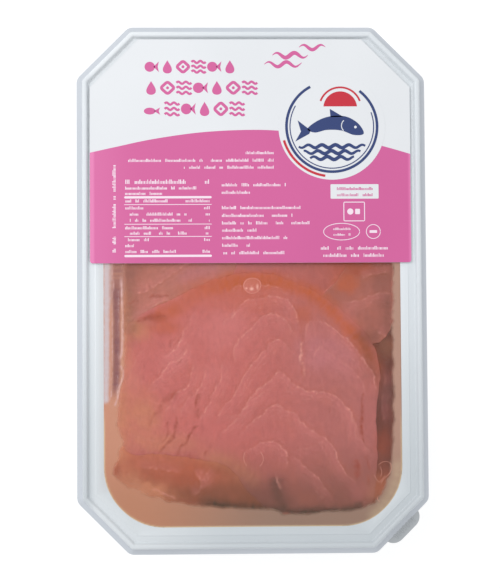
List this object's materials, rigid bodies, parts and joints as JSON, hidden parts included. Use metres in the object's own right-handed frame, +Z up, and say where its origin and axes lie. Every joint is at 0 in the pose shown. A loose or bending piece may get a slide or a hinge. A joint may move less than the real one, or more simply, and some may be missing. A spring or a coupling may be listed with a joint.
{
  "type": "sealed pack of smoked salmon in oil",
  "caption": "Eight-sided white plastic tray with a raised rim and a grip tab, holding salmon slices in oil under clear film with a printed label.",
  "frame": {"origin": "middle of the tray's flat base, where the pack rests", "axes": "+Z up through the lid film, +Y along the pack towards the label, +X across it"},
  "size_m": [0.13, 0.196, 0.022],
  "materials": {
    "tray_plastic": "white polypropylene with a soft gloss",
    "clear_film": "clear glossy lid film",
    "label_print": "printed label in white and pink",
    "tinted_oil": "oil tinted tan by the fish",
    "salmon_pink": "wet smoked salmon, pink with pale lines",
    "salmon_lower": "wet smoked salmon, brownish pink",
    "salmon_dark": "wet smoked salmon, dark brown flesh"
  },
  "bodies": {
    "root": {"tray": "tray_plastic", "lid_film": "clear_film", "label": "label_print", "oil": "tinted_oil", "slices_below": "salmon_lower", "slice_top": "salmon_pink", "slice_upper_left": "salmon_lower", "slice_upper_middle": "salmon_pink", "slice_lower_left": "salmon_lower", "slice_upper_right": "salmon_lower", "slice_right": "salmon_dark"}
  },
  "joints": []
}
